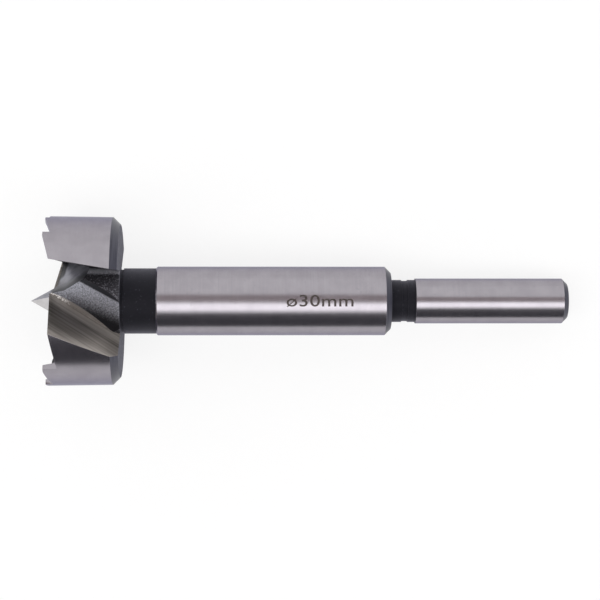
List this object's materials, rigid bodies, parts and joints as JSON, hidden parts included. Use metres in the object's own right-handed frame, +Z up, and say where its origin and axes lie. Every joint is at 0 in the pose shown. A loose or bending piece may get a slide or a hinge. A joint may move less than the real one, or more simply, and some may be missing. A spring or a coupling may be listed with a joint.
{
  "type": "forstner bit",
  "caption": "Forstner bit with a saw-toothed rim, straight cutting lips and a centre point on a stepped round shank, for boring flat-bottomed holes in wood.",
  "frame": {"origin": "on the bench below the middle of the bit's length, as it lies at rest", "axes": "+X from the centre point towards the end of the shank, level with the bench; +Z up"},
  "size_m": [0.095, 0.03, 0.0286],
  "materials": {
    "tool_steel": "ground bright on the rim, lips, body and shank; black oxide on the necks and in the throats"
  },
  "bodies": {
    "root": {"forstner_bit": "tool_steel"}
  },
  "joints": []
}
